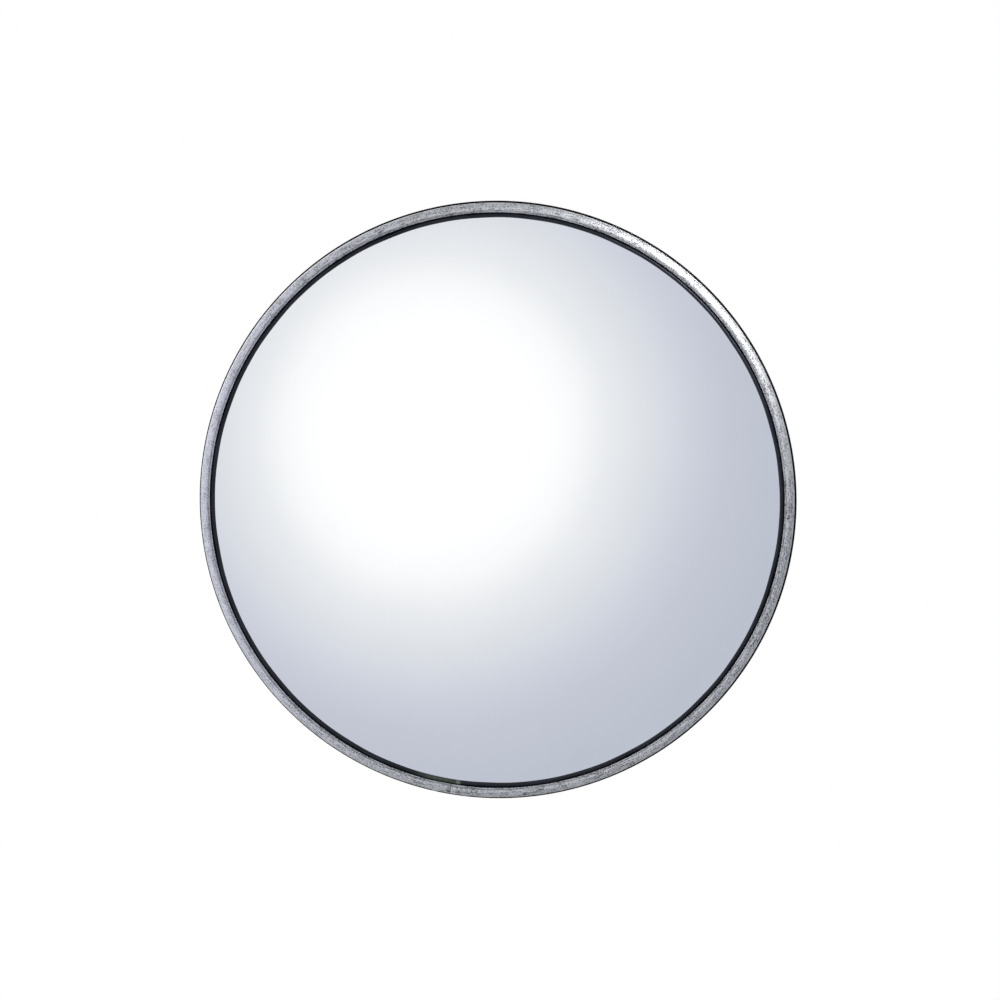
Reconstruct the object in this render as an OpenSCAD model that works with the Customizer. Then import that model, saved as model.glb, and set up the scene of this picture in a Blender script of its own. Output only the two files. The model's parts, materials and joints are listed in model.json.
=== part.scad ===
// Round convex mirror with a rolled steel rim, carried by a swivelling wall bracket.
// Millimetres, +Z up. The wall is the plane y = 0 and the mirror faces -Y.

/* [Mirror] */
// Outside diameter of the rim
rim_d = 305; // [285:1:330]
// Height of the glass dome above its edge
glass_crown = 30; // [24:1:36]
// Thickness of the glass
glass_t = 3; // [2.5:0.5:3.5]

/* [Rim and seal] */
// Thickness of the rim's sheet steel
rim_sheet = 0.8; // [0.6:0.1:1]
// Width of the rim's rounded front bead
bead_w = 4.3; // [4:0.1:4.5]
// Visible width of the rubber lip inside the bead
lip_w = 2.4; // [2:0.1:3]
// Direction in which the rim's two ends meet, counter-clockwise from the right
rim_joint_angle = 261; // [180:1:360]

/* [Back pan] */
// Thickness of the pan's sheet steel
pan_sheet = 0.8; // [0.6:0.1:1]
// Depth of the pan from its flange to its rear face
pan_depth = 14; // [12:1:16]
// Diameter of the weep holes
weep_d = 6; // [4:1:8]

/* [Mounting plate] */
// Diameter of the plate on the pan's back
plate_d = 90; // [84:1:100]
// Thickness of that plate
plate_t = 2.5; // [2:0.5:3]
// Diameter of the circle on which its screws sit
screw_circle_d = 70; // [64:1:72]

/* [Ball joint] */
// Diameter of the ball
ball_d = 25; // [24.6:0.1:25.4]
// Distance from the ball's centre to the mounting plate
plate_offset = 23.5; // [23.5:0.5:30]

/* [Arm] */
// Distance from the hinge pin to the ball's centre
arm_reach = 126; // [115:1:180]
// Outside diameter of the arm's tube
arm_tube_d = 16; // [14:1:18]

/* [Wall bracket] */
// Width of the wall plate
wall_w = 76; // [70:1:100]
// Height of the wall plate
wall_h = 110; // [104:1:140]
// Thickness of the wall plate
wall_t = 3; // [2:0.5:4]
// Diameter of the four wall screw holes
wall_hole_d = 5.5; // [4:0.5:7]
// Distance between the wall screw holes, side to side
wall_hole_dx = 54; // [50:1:56]
// Distance between the wall screw holes, top to bottom
wall_hole_dz = 84; // [80:1:90]
// Distance from the wall to the hinge pin
pin_reach = 34; // [30:1:40]

/* [Knob] */
// Diameter of the star knob over its lobes
knob_d = 40; // [36:1:44]
// Number of lobes
knob_lobes = 6; // [5:1:7]

/* [Hidden] */
$fn = 96;
dome_fn = 256;
over = 1; // how far a cutting shape runs past what it cuts

// Clearances
run_gap = 0.05; // a shaft in its bore, per side
ball_gap = 0.1; // between the ball, its liner and the socket
face_gap = 0.3; // between faces that slide past each other

// Wall bracket, hinge and knob
wall_corner_r = 10;
ear_t = 3;
ear_r = 11;
pin_r = 4;
eye_h = 20;
bush_flange_t = 1.5;
ear_in = eye_h / 2 + bush_flange_t + face_gap;
ear_out = ear_in + ear_t;
washer_r = 8;
washer_t = 1.6;
hex_af = 13;
bolt_head_h = 5.3;
eye_r = 10;
bush_r = 6;
knob_z = ear_out + washer_t + face_gap;
knob_neck_h = 4;
knob_neck_r = 10;
knob_h = 16;
lobe_r = knob_d * 0.14;
lobe_inset = 0.8;
insert_r = 6;
insert_h = 13.5;
bolt_end_z = knob_z + insert_h - 0.7;

// Ball joint, measured forward from the ball's centre
ball_reach = pin_reach + arm_reach;
ball_r = ball_d / 2;
liner_in_r = ball_r + ball_gap;
liner_out_r = ball_r + 2;
seat_r = liner_out_r + ball_gap;
liner_rear_z = -9.5;
liner_front_z = 8.4;
cup_rear_z = -21;
cup_front_z = 1;
cup_shoulder_z = -9.5;
cup_r = 20;
cup_neck_r = 11;
thread_r = 17.5;
tube_wall = 1.5;
tube_seat = 3.8;
collar_r = 21.5;
collar_front_z = 11;
collar_rear_z = cup_shoulder_z + face_gap;
collar_chamfer = 4.5;
mouth_angle = 58;
mouth_slope = 0.8;
grip_notches = 18;
ball_rear_z = -10;
ball_front_z = 11.5;
stem_r = 4;
stem_head_r = 6.8;
jam_nut_h = 4;
stem_nut_h = 6.5;

// Mirror head, measured forward from the ball's centre
plate_front_z = plate_offset + plate_t;
stem_end_z = plate_front_z + washer_t + stem_nut_h + 2;
screw_r = 2.5;
screw_head_r = 4.75;
screw_head_h = 3.2;
spring_washer_t = 1.2;
weld_nut_h = 4.2;
weld_nut_af = 8;
pan_flange_z = plate_front_z + pan_depth;
pan_hole_r = 17;
pan_steps = 64;
hem_r = rim_d / 2;
hem_step = 0.6;
hem_h = 2.2;
skirt_r = hem_r - hem_step;
bead_r = bead_w / 2;
bead_c = skirt_r - bead_r;
curl_r = 0.42;
curl_c = skirt_r - bead_w - 0.2;
bead_in_r = curl_c - curl_r;
lip_r = bead_in_r - lip_w;
glass_r = lip_r + 1.4;
pan_r = skirt_r - rim_sheet - 0.2;
pad_in_r = glass_r - 13;
pad_out_r = glass_r - 3;
gasket_z = pan_flange_z + pan_sheet;
glass_edge_z = gasket_z + 4.7;
dome_r = (glass_r * glass_r + glass_crown * glass_crown) / (2 * glass_crown);
dome_z = glass_edge_z + glass_crown - dome_r;
bead_z = glass_edge_z + 0.5;
lip_z = bead_z + 1;
seal_step_z = bead_z - 1.2;
splice_t = 0.8;
splice_angle = 10;
rivet_angle = 3;
rivet_r = 1.2;
rivet_z = gasket_z + 2.4;

// Puts a shape at a distance from the wall, with its own z forward and its own y up
module from_wall(d) {
    translate([0, -d, 0]) rotate([90, 0, 0]) children();
}

// Puts a shape on the hinge pin's vertical axis
module at_pin(z = 0) {
    translate([0, -pin_reach, z]) children();
}

// Puts a shape in the ball's frame, z forward
module at_ball(z = 0) {
    from_wall(ball_reach) translate([0, 0, z]) children();
}

// A flat ring or a short tube
module ring(r_out, r_in, h) {
    difference() {
        cylinder(r = r_out, h = h);
        translate([0, 0, -over]) cylinder(r = r_in, h = h + 2 * over);
    }
}

// A hexagon nut, or a bolt's head when it has no bore
module hexagon(af, h, bore_r = 0) {
    difference() {
        cylinder(r = af / 2 / cos(30), h = h, $fn = 6);
        if (bore_r > 0) translate([0, 0, -over]) cylinder(r = bore_r, h = h + 2 * over);
    }
}

// Copies a shape to the four screws of the mounting plate
module on_screw_circle() {
    for (a = [45 : 90 : 315]) rotate([0, 0, a]) translate([screw_circle_d / 2, 0, 0]) children();
}

// Copies a shape to the four screw holes of the wall plate
module on_wall_holes() {
    for (x = [-1, 1], y = [-1, 1]) translate([x * wall_hole_dx / 2, y * wall_hole_dz / 2, 0]) children();
}

// Lays a shape along the radius at the rim's joint, with its z outward
module on_rim_rivets() {
    for (side = [-1, 1]) rotate([0, 0, rim_joint_angle + side * rivet_angle])
        translate([0, 0, rivet_z]) rotate([0, 90, 0]) children();
}

module rounded_rectangle(w, h, r) {
    square([w - 2 * r, h], center = true);
    square([w, h - 2 * r], center = true);
    for (x = [-1, 1], y = [-1, 1]) translate([x * (w / 2 - r), y * (h / 2 - r)]) circle(r);
}

// ---- Wall bracket ----

module wall_plate() {
    color("gainsboro") from_wall(0) difference() {
        linear_extrude(wall_t) rounded_rectangle(wall_w, wall_h, wall_corner_r);
        translate([0, 0, -over]) on_wall_holes() cylinder(d = wall_hole_d, h = wall_t + 2 * over);
    }
}

// One ear, its plate level and its round end on the pin
module ear() {
    linear_extrude(ear_t) difference() {
        union() {
            circle(ear_r);
            translate([-ear_r, 0]) square([2 * ear_r, pin_reach - wall_t]);
        }
        circle(pin_r + 2 * run_gap);
    }
}

module wall_knuckle() {
    color("gainsboro") {
        at_pin(ear_in) ear();
        at_pin(-ear_out) ear();
        translate([-ear_r, -wall_t - ear_t, -ear_out]) cube([2 * ear_r, ear_t, 2 * ear_out]);
    }
}

module hinge_bolt() {
    color("silver") {
        at_pin(-ear_out - washer_t) cylinder(r = pin_r, h = bolt_end_z + ear_out + washer_t);
        at_pin(-ear_out - washer_t - bolt_head_h) hexagon(hex_af, bolt_head_h);
    }
}

module hinge_washers() {
    color("silver") for (z = [ear_out, -ear_out - washer_t])
        at_pin(z) ring(washer_r, pin_r + 2 * run_gap, washer_t);
}

// ---- Hinge knob ----

module knob_body() {
    color("dimgray") at_pin(knob_z) difference() {
        union() {
            cylinder(r = knob_neck_r, h = knob_neck_h + over);
            translate([0, 0, knob_neck_h]) cylinder(r = knob_d / 2 - lobe_r, h = knob_h - knob_neck_h);
            for (i = [0 : knob_lobes - 1]) rotate([0, 0, i * 360 / knob_lobes])
                translate([knob_d / 2 - lobe_r, 0, knob_neck_h + lobe_inset])
                    cylinder(r = lobe_r, h = knob_h - knob_neck_h - 2 * lobe_inset);
        }
        translate([0, 0, -over]) cylinder(r = insert_r, h = insert_h + over);
    }
}

module knob_insert() {
    color("goldenrod") at_pin(knob_z) ring(insert_r, pin_r + run_gap, insert_h);
}

// ---- Swing arm ----

module arm_eye() {
    color("gainsboro") at_pin(-eye_h / 2) ring(eye_r, bush_r, eye_h);
}

// Two flanged bushes, one pressed in from each end of the eye
module arm_bushes() {
    bush_h = eye_h / 2 - 1;
    color("whitesmoke") at_pin() for (side = [0, 1]) mirror([0, 0, side]) {
        translate([0, 0, eye_h / 2 - bush_h]) ring(bush_r, pin_r + run_gap, bush_h + bush_flange_t);
        translate([0, 0, eye_h / 2]) ring(eye_r, pin_r + run_gap, bush_flange_t);
    }
}

// The tube's rear end is coped to the eye, and its front end sits in the cup
module arm_tube() {
    front = arm_reach + cup_rear_z + tube_seat;
    color("gainsboro") difference() {
        from_wall(pin_reach) cylinder(d = arm_tube_d, h = front);
        from_wall(pin_reach - over) cylinder(r = arm_tube_d / 2 - tube_wall, h = front + 2 * over);
        at_pin(-eye_h) cylinder(r = eye_r, h = 2 * eye_h);
    }
}

module socket_cup() {
    color("silver") at_ball() difference() {
        rotate_extrude() difference() {
            polygon([
                [0, cup_rear_z], [cup_neck_r, cup_rear_z], [cup_r, cup_shoulder_z - 3],
                [cup_r, cup_shoulder_z], [thread_r, cup_shoulder_z], [thread_r, cup_front_z],
                [0, cup_front_z]
            ]);
            circle(seat_r);
        }
        translate([0, 0, cup_rear_z - over]) cylinder(d = arm_tube_d, h = tube_seat + over);
    }
}

// ---- Ball joint ----

// The ring nut that closes on the liner, with a flared mouth for the stem
module socket_collar() {
    mouth_r = seat_r * sin(mouth_angle);
    mouth_z = seat_r * cos(mouth_angle);
    color("silver") at_ball() difference() {
        rotate_extrude() difference() {
            polygon([
                [0, collar_rear_z], [collar_r, collar_rear_z], [collar_r, collar_front_z - collar_chamfer],
                [collar_r - collar_chamfer, collar_front_z], [0, collar_front_z]
            ]);
            translate([0, collar_rear_z - over])
                square([thread_r + run_gap, cup_front_z + face_gap + over - collar_rear_z]);
            circle(seat_r);
            polygon([
                [0, mouth_z - 2], [mouth_r - 2 * mouth_slope, mouth_z - 2],
                [mouth_r + mouth_slope * (collar_front_z + over - mouth_z), collar_front_z + over],
                [0, collar_front_z + over]
            ]);
        }
        for (i = [0 : grip_notches - 1]) rotate([0, 0, i * 360 / grip_notches])
            translate([collar_r + 0.8, 0, collar_rear_z - over]) cylinder(r = 1.6, h = 30);
    }
}

module friction_liner() {
    color("whitesmoke") at_ball() rotate_extrude() intersection() {
        difference() {
            circle(liner_out_r);
            circle(liner_in_r);
        }
        translate([0, liner_rear_z]) square([liner_out_r + over, liner_front_z - liner_rear_z]);
    }
}

module pivot_ball() {
    sink_r = stem_r + run_gap;
    sink_z = ball_rear_z + stem_head_r - stem_r + face_gap;
    color("silver") at_ball() rotate_extrude() difference() {
        intersection() {
            circle(ball_r);
            translate([0, ball_rear_z]) square([ball_d, ball_front_z - ball_rear_z]);
        }
        translate([0, -ball_d]) square([sink_r, 2 * ball_d]);
        polygon([[0, sink_z], [sink_r, sink_z], [sink_r + ball_r, sink_z - ball_r], [0, sink_z - ball_r]]);
    }
}

// ---- Mirror head ----

module ball_stem() {
    color("silver") at_ball() rotate_extrude() polygon([
        [0, ball_rear_z], [stem_head_r, ball_rear_z], [stem_r, ball_rear_z + stem_head_r - stem_r],
        [stem_r, stem_end_z - over], [stem_r - over, stem_end_z], [0, stem_end_z]
    ]);
}

module stem_jam_nut() {
    color("silver") at_ball(plate_offset - jam_nut_h) hexagon(hex_af, jam_nut_h, stem_r + run_gap);
}

module stem_washer() {
    color("silver") at_ball(plate_front_z) ring(washer_r, stem_r + 2 * run_gap, washer_t);
}

module stem_nut() {
    color("silver") at_ball(plate_front_z + washer_t) hexagon(hex_af, stem_nut_h, stem_r + run_gap);
}

module mount_plate() {
    color("gainsboro") at_ball(plate_offset) difference() {
        cylinder(d = plate_d, h = plate_t);
        translate([0, 0, -over]) {
            cylinder(r = stem_r + 2 * run_gap, h = plate_t + 2 * over);
            on_screw_circle() cylinder(r = screw_r + 2 * run_gap, h = plate_t + 2 * over);
        }
    }
}

module plate_screws() {
    shank = spring_washer_t + plate_t + pan_sheet + weld_nut_h + 1;
    color("silver") at_ball(plate_offset - spring_washer_t) on_screw_circle() {
        cylinder(r = screw_r, h = shank);
        translate([0, 0, -screw_head_h]) cylinder(r1 = screw_head_r - 1.2, r2 = screw_head_r, h = 1.4);
        translate([0, 0, 1.4 - screw_head_h]) cylinder(r = screw_head_r, h = screw_head_h - 1.4);
    }
}

module plate_washers() {
    color("silver") at_ball(plate_offset - spring_washer_t) on_screw_circle()
        ring(screw_head_r, screw_r + 2 * run_gap, spring_washer_t);
}

module weld_nuts() {
    color("silver") at_ball(plate_front_z + pan_sheet) on_screw_circle()
        hexagon(weld_nut_af, weld_nut_h, screw_r + run_gap);
}

function ease(t) = t <= 0 ? 0 : t >= 1 ? 1 : t * t * (3 - 2 * t);

// Height of the pan's rear face: flat centre, a low shoulder, then the flank up to the flange
function pan_z(r) = plate_front_z
    + 0.3 * pan_depth * ease((r - 62) / 10)
    + 0.7 * pan_depth * ease((r - pad_in_r + 24) / 22);
function pan_x(i) = pan_hole_r + (pan_r - pan_hole_r) * i / pan_steps;

module back_pan() {
    rear = [for (i = [0 : pan_steps]) [pan_x(i), pan_z(pan_x(i))]];
    front = [for (i = [pan_steps : -1 : 0]) [pan_x(i), pan_z(pan_x(i)) + pan_sheet]];
    color("darkgray") at_ball() difference() {
        rotate_extrude() polygon(concat(rear, front));
        on_screw_circle() cylinder(r = screw_r + 2 * run_gap, h = 2 * pan_flange_z);
        for (a = [255, 270, 285]) rotate([0, 0, a])
            translate([pad_in_r - 14, 0, 0]) cylinder(d = weep_d, h = 2 * pan_flange_z);
    }
}

// The section bounded by a dome that lies inside the glass's front surface by an inset
module dome_section(inset) {
    translate([0, dome_z]) circle(r = dome_r - inset, $fn = dome_fn);
}

module glass_section() {
    difference() {
        intersection() {
            dome_section(0);
            translate([0, pan_flange_z]) square([glass_r, 2 * glass_crown]);
        }
        dome_section(glass_t);
    }
}

module edge_pad() {
    color("dimgray") at_ball() rotate_extrude() intersection() {
        translate([pad_in_r, gasket_z]) square([pad_out_r - pad_in_r, glass_crown]);
        dome_section(glass_t);
    }
}

module mirror_glass() {
    color("aliceblue") at_ball() rotate_extrude() glass_section();
}

// A rubber channel round the glass's edge, with a thin lip over the front
module rim_gasket() {
    lip_top_r = (bead_in_r - run_gap - lip_r) / 2;
    seal_r = skirt_r - rim_sheet - splice_t - 0.3;
    color("#1c1e22") at_ball() rotate_extrude() difference() {
        union() {
            translate([lip_r, gasket_z]) square([seal_r - lip_r, seal_step_z - gasket_z]);
            translate([lip_r, gasket_z]) square([2 * lip_top_r, lip_z - lip_top_r / 2 - gasket_z]);
            translate([lip_r + lip_top_r, lip_z - lip_top_r / 2]) intersection() {
                circle(lip_top_r);
                translate([-lip_top_r, -lip_top_r]) square([2 * lip_top_r, 1.6 * lip_top_r]);
            }
        }
        glass_section();
    }
}

// Bead, inner curl, skirt, and the hem that turns in under the pan's flange
module rim_section() {
    translate([bead_c, bead_z]) difference() {
        circle(bead_r);
        circle(bead_r - rim_sheet);
        translate([-bead_w, -bead_w]) square([2 * bead_w, bead_w]);
    }
    translate([bead_c - bead_r, bead_z - over]) square([rim_sheet, over]);
    translate([curl_c, bead_z]) circle(curl_r);
    translate([skirt_r - rim_sheet, pan_flange_z - rim_sheet])
        square([rim_sheet, bead_z - pan_flange_z + rim_sheet]);
    translate([skirt_r - 7, pan_flange_z - rim_sheet]) square([7, rim_sheet]);
    translate([skirt_r - rim_sheet / 2, pan_flange_z - rim_sheet]) square([hem_step + rim_sheet / 2, hem_h]);
}

module rim_band() {
    joint_gap = 0.4;
    color("silver") at_ball() difference() {
        rotate_extrude() rim_section();
        rotate([0, 0, rim_joint_angle]) translate([skirt_r - 10, -joint_gap / 2, 0])
            cube([20, joint_gap, 2 * pan_flange_z]);
        on_rim_rivets() cylinder(r = rivet_r + run_gap, h = rim_d);
    }
}

// The strap inside the skirt that bridges the rim's joint
module rim_splice() {
    strap_r = skirt_r - rim_sheet;
    color("silver") at_ball() difference() {
        rotate([0, 0, rim_joint_angle - splice_angle / 2]) rotate_extrude(angle = splice_angle)
            translate([strap_r - splice_t, gasket_z + 0.4]) square([splice_t, 4]);
        on_rim_rivets() cylinder(r = rivet_r + run_gap, h = rim_d);
    }
}

module splice_rivets() {
    tail_r = skirt_r - rim_sheet - splice_t;
    color("silver") at_ball() on_rim_rivets() {
        translate([0, 0, tail_r - 0.25]) cylinder(r = rivet_r, h = hem_r - 0.1 - tail_r + 0.25);
        translate([0, 0, skirt_r + 0.05]) cylinder(r = 1.5 * rivet_r, h = hem_step - 0.15);
    }
}

wall_plate();
wall_knuckle();
hinge_bolt();
hinge_washers();
knob_body();
knob_insert();
arm_eye();
arm_bushes();
arm_tube();
socket_cup();
socket_collar();
friction_liner();
pivot_ball();
ball_stem();
stem_jam_nut();
stem_washer();
stem_nut();
mount_plate();
plate_screws();
plate_washers();
weld_nuts();
back_pan();
edge_pad();
mirror_glass();
rim_gasket();
rim_band();
rim_splice();
splice_rivets();
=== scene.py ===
import json
import math
import random
import bmesh
import bpy
from mathutils import Matrix, Vector


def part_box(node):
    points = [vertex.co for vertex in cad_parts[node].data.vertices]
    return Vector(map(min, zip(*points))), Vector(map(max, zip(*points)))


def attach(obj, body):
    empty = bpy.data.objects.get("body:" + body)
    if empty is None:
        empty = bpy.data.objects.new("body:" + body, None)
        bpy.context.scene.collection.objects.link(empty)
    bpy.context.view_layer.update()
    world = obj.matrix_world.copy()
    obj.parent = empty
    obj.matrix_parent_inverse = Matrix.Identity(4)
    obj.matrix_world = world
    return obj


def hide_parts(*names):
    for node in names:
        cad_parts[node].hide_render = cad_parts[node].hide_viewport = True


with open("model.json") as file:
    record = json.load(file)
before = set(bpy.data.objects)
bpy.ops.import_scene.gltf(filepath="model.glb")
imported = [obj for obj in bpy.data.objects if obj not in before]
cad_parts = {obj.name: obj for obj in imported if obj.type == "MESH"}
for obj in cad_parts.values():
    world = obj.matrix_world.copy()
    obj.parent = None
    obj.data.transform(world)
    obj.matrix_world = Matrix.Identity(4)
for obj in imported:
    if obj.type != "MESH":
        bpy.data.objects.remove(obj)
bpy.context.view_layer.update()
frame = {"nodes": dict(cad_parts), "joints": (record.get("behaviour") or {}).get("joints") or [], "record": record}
nodes = frame["nodes"]
joints = {joint["name"]: joint for joint in frame["joints"]}
bodies = frame["record"]["behaviour"]["bodies"]
bodyOf = {node: body for body, members in bodies.items() for node in members}
slotOf = {part["node"]: part["material_slot"] for part in frame["record"]["subparts"]}
mm = 0.001

# everything in the head and the ball joint is drawn round the ball's own axis, z forward
ballCentre = Vector(joints["ball_tilt"]["pos_m"])
pinCentre = Vector(joints["arm_swing"]["pos_m"])
facing = Matrix.Rotation(math.radians(90), 4, "X") @ Matrix.Scale(mm, 4)
ballFrame = Matrix.Translation(ballCentre) @ facing
pinFrame = Matrix.Translation(pinCentre) @ Matrix.Scale(mm, 4)


def turnedSize(node):
    # a turned part's radius, rear and front in millimetres, measured forward from the ball
    low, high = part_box(node)
    return high.x / mm, (ballCentre.y - high.y) / mm, (ballCentre.y - low.y) / mm


# ---- materials ----

def colour(hexCode):
    # sRGB hex to linear RGBA
    parts = [int(hexCode[i:i + 2], 16) / 255 for i in (0, 2, 4)]
    return [p / 12.92 if p <= 0.04045 else ((p + 0.055) / 1.055) ** 2.4 for p in parts] + [1]


def perSize(size):
    # texture scale that gives features of this many millimetres
    return 1 / (size * mm)


def addNode(tree, kind, settings=None, links=None):
    node = tree.nodes.new("ShaderNode" + kind)
    for key, value in (settings or {}).items():
        if key == "stops":
            while len(node.color_ramp.elements) < len(value):
                node.color_ramp.elements.new(0.5)
            for element, (position, tint) in zip(node.color_ramp.elements, value):
                element.position = position
                element.color = tint if isinstance(tint, list) else [tint, tint, tint, 1]
        elif isinstance(key, int) or key in node.inputs:
            node.inputs[key].default_value = value
        else:
            setattr(node, key, value)
    for key, source in (links or {}).items():
        tree.links.new(source, node.inputs[key])
    return node


def noise(tree, place, size, detail, roughness=0.5):
    node = addNode(tree, "TexNoise", {"Scale": perSize(size), "Detail": detail, "Roughness": roughness},
                   {"Vector": place})
    return node.outputs["Fac"]


def calculate(tree, operation, *values, clamp=False):
    # each value is a number or another node's output
    node = addNode(tree, "Math", {"operation": operation, "use_clamp": clamp})
    for socket, value in zip(node.inputs, values):
        if isinstance(value, bpy.types.NodeSocket):
            tree.links.new(value, socket)
        else:
            socket.default_value = value
    return node.outputs[0]


def mapped(tree, value, fromLow, fromHigh, toLow=0.0, toHigh=1.0, smooth=False):
    kind = "SMOOTHSTEP" if smooth else "LINEAR"
    node = addNode(tree, "MapRange", {"interpolation_type": kind, "From Min": fromLow, "From Max": fromHigh,
                                      "To Min": toLow, "To Max": toHigh}, {"Value": value})
    return node.outputs["Result"]


def dot(tree, vector, way):
    return addNode(tree, "VectorMath", {"operation": "DOT_PRODUCT", 1: way}, {0: vector}).outputs["Value"]


def distance(tree, vector, point):
    return addNode(tree, "VectorMath", {"operation": "DISTANCE", 1: point}, {0: vector}).outputs["Value"]


def ramp(tree, value, low, dark, high, light):
    node = addNode(tree, "ValToRGB", {"stops": [(low, colour(dark)), (high, colour(light))]}, {"Fac": value})
    return node.outputs["Color"]


def overlay(tree, under, share, hexCode):
    # one colour laid over another by a share from 0 to 1
    return addNode(tree, "Mix", {"data_type": "RGBA", 7: colour(hexCode)}, {0: share, 6: under}).outputs[2]


def newMaterial(name, settings):
    material = bpy.data.materials.new(name)
    material.use_nodes = True
    tree = material.node_tree
    shader = tree.nodes["Principled BSDF"]
    for key, value in settings.items():
        shader.inputs[key].default_value = value
    place = addNode(tree, "TexCoord").outputs["Object"]
    return material, tree, shader, place


def linkBump(tree, shader, height, strength, depth):
    bump = addNode(tree, "Bump", {"Strength": strength, "Distance": depth * mm}, {"Height": height})
    tree.links.new(bump.outputs["Normal"], shader.inputs["Normal"])


def linkLook(tree, shader, tint, rough=None):
    tree.links.new(tint, shader.inputs["Base Color"])
    if rough:
        tree.links.new(rough, shader.inputs["Roughness"])


def onHead(radius, angle, forward):
    # a point of the head by its radius, its direction from the right and its distance before the ball
    turn = math.radians(angle)
    return ballFrame @ Vector((radius * math.cos(turn), radius * math.sin(turn), forward))


rim = {"beadWidth": 4.35, "slope": 0.5, "beadEnd": 158, "curl": 0.42, "curlInset": 0.2, "curlLift": 0.35,
       "curlFrom": 40, "curlTo": 262, "hemStep": 0.95, "hemHeight": 2.2, "hemFoot": 0.4, "hemTop": 0.3,
       "skirtReach": (7, 3), "sheet": 0.35, "jointAngle": 261.0, "jointGap": 0.16, "steps": 288}

# galvanised sheet after rolling: dull zinc with a fine mottle of broken crystals
galvanisedRim = {
    "dark": "494b4e", "light": "dadbdd", "darkFrom": 0.60, "lightFrom": 0.97,
    "grain": 0.62, "cell": 1.4, "cellShare": 0.45, "blotch": 9, "blotchShare": 0.35,
    "roughLow": 0.60, "roughHigh": 0.80, "bump": 0.6, "bumpDepth": 0.06,
    "lineWidth": 0.5, "lineStretch": 11, "lineDepth": 0.75,
    # painted light: a paler, bluer tint laid on the left side of the rim
    "bloom": "e2e2ec", "paintedLitSideAmount": 0.5, "paintedLitSideEdge": -50,
    "scuff": "2a2b2d", "scuffAngles": [260.6, 262.4, 275.6], "scuffRadius": 150.2, "scuffForward": 47,
    "scuffCore": 0.5, "scuffReach": 1.6, "scuffAmount": 0.75, "ragged": 2.2, "raggedShift": -0.9,
    # painted shade: a near-black tint laid in the corner behind the bead
    "grime": "131315", "paintedShadeCore": 0.5, "paintedShadeReach": 1.6, "paintedShadeAmount": 1.3,
    "paintedShadeInset": 0.55, "paintedShadeForward": 2.5,
}


def makeGalvanisedRim():
    look = galvanisedRim
    material, tree, shader, place = newMaterial("galvanised steel, rolled", {"Metallic": 1.0})
    grain = noise(tree, place, look["grain"], 4.0, 0.7)
    cells = addNode(tree, "TexVoronoi", {"Scale": perSize(look["grain"] * look["cell"]), "Randomness": 1.0},
                    {"Vector": place})
    mottle = calculate(tree, "MULTIPLY_ADD", cells.outputs["Distance"], look["cellShare"], grain)
    blotch = noise(tree, place, look["blotch"], 3.0)
    mottle = calculate(tree, "MULTIPLY_ADD", blotch, look["blotchShare"], mottle)
    # the forming rolls leave faint lines round the rim; the pattern's seam is at the joint
    hemRadius, hemRear = turnedSize("rim_band")[:2]
    split = addNode(tree, "SeparateXYZ", {}, {"Vector": place})
    flat = addNode(tree, "VectorMath", {"operation": "MULTIPLY", 1: (1, 0, 1)}, {0: place})
    radial = addNode(tree, "VectorMath", {"operation": "LENGTH"}, {0: flat.outputs[0]}).outputs["Value"]
    seam = math.radians(rim["jointAngle"])
    across = dot(tree, place, (-math.cos(seam), 0, -math.sin(seam)))
    along = dot(tree, place, (math.sin(seam), 0, -math.cos(seam)))
    turned = calculate(tree, "ARCTAN2", along, across)
    travel = calculate(tree, "MULTIPLY", turned, hemRadius * mm / look["lineStretch"])
    unrolled = addNode(tree, "CombineXYZ", {}, {"X": radial, "Y": split.outputs["Y"], "Z": travel})
    lines = noise(tree, unrolled.outputs[0], look["lineWidth"], 2.0)
    lined = calculate(tree, "MULTIPLY_ADD", lines, look["lineDepth"], -0.5 * look["lineDepth"])
    mottle = calculate(tree, "ADD", mottle, lined)
    tint = ramp(tree, mottle, look["darkFrom"], look["dark"], look["lightFrom"], look["light"])
    # painted light: the left side of the rim is painted paler and bluer, as if lit more strongly there
    paintedLitShare = mapped(tree, split.outputs["X"], -hemRadius * mm, look["paintedLitSideEdge"] * mm,
                       look["paintedLitSideAmount"], 0.0, smooth=True)
    tint = overlay(tree, tint, calculate(tree, "MULTIPLY", paintedLitShare, mottle, clamp=True), look["bloom"])
    # scuffs near the joint, two of them where the ends were pulled together
    ragged = calculate(tree, "MULTIPLY_ADD", grain, look["ragged"] * mm, look["raggedShift"] * mm)
    for angle in look["scuffAngles"]:
        gap = distance(tree, place, onHead(look["scuffRadius"], angle, look["scuffForward"]))
        away = calculate(tree, "ADD", gap, ragged)
        mask = mapped(tree, away, look["scuffCore"] * mm, look["scuffReach"] * mm, look["scuffAmount"], 0.0)
        tint = overlay(tree, tint, mask, look["scuff"])
    # painted shade: the corner behind the bead is painted near-black, thinning out over the hem
    section = addNode(tree, "CombineXYZ", {"Z": 0.0}, {"X": radial, "Y": split.outputs["Y"]})
    corner = ((hemRadius - look["paintedShadeInset"]) * mm, ballCentre.y - (hemRear + look["paintedShadeForward"]) * mm, 0)
    mask = mapped(tree, distance(tree, section.outputs[0], corner), look["paintedShadeCore"] * mm,
                  look["paintedShadeReach"] * mm, look["paintedShadeAmount"], 0.0, smooth=True)
    tint = overlay(tree, tint, calculate(tree, "MULTIPLY", mask, mottle, clamp=True), look["grime"])
    linkLook(tree, shader, tint, mapped(tree, grain, 0.3, 0.7, look["roughLow"], look["roughHigh"]))
    linkBump(tree, shader, mottle, look["bump"], look["bumpDepth"])
    return material


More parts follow.
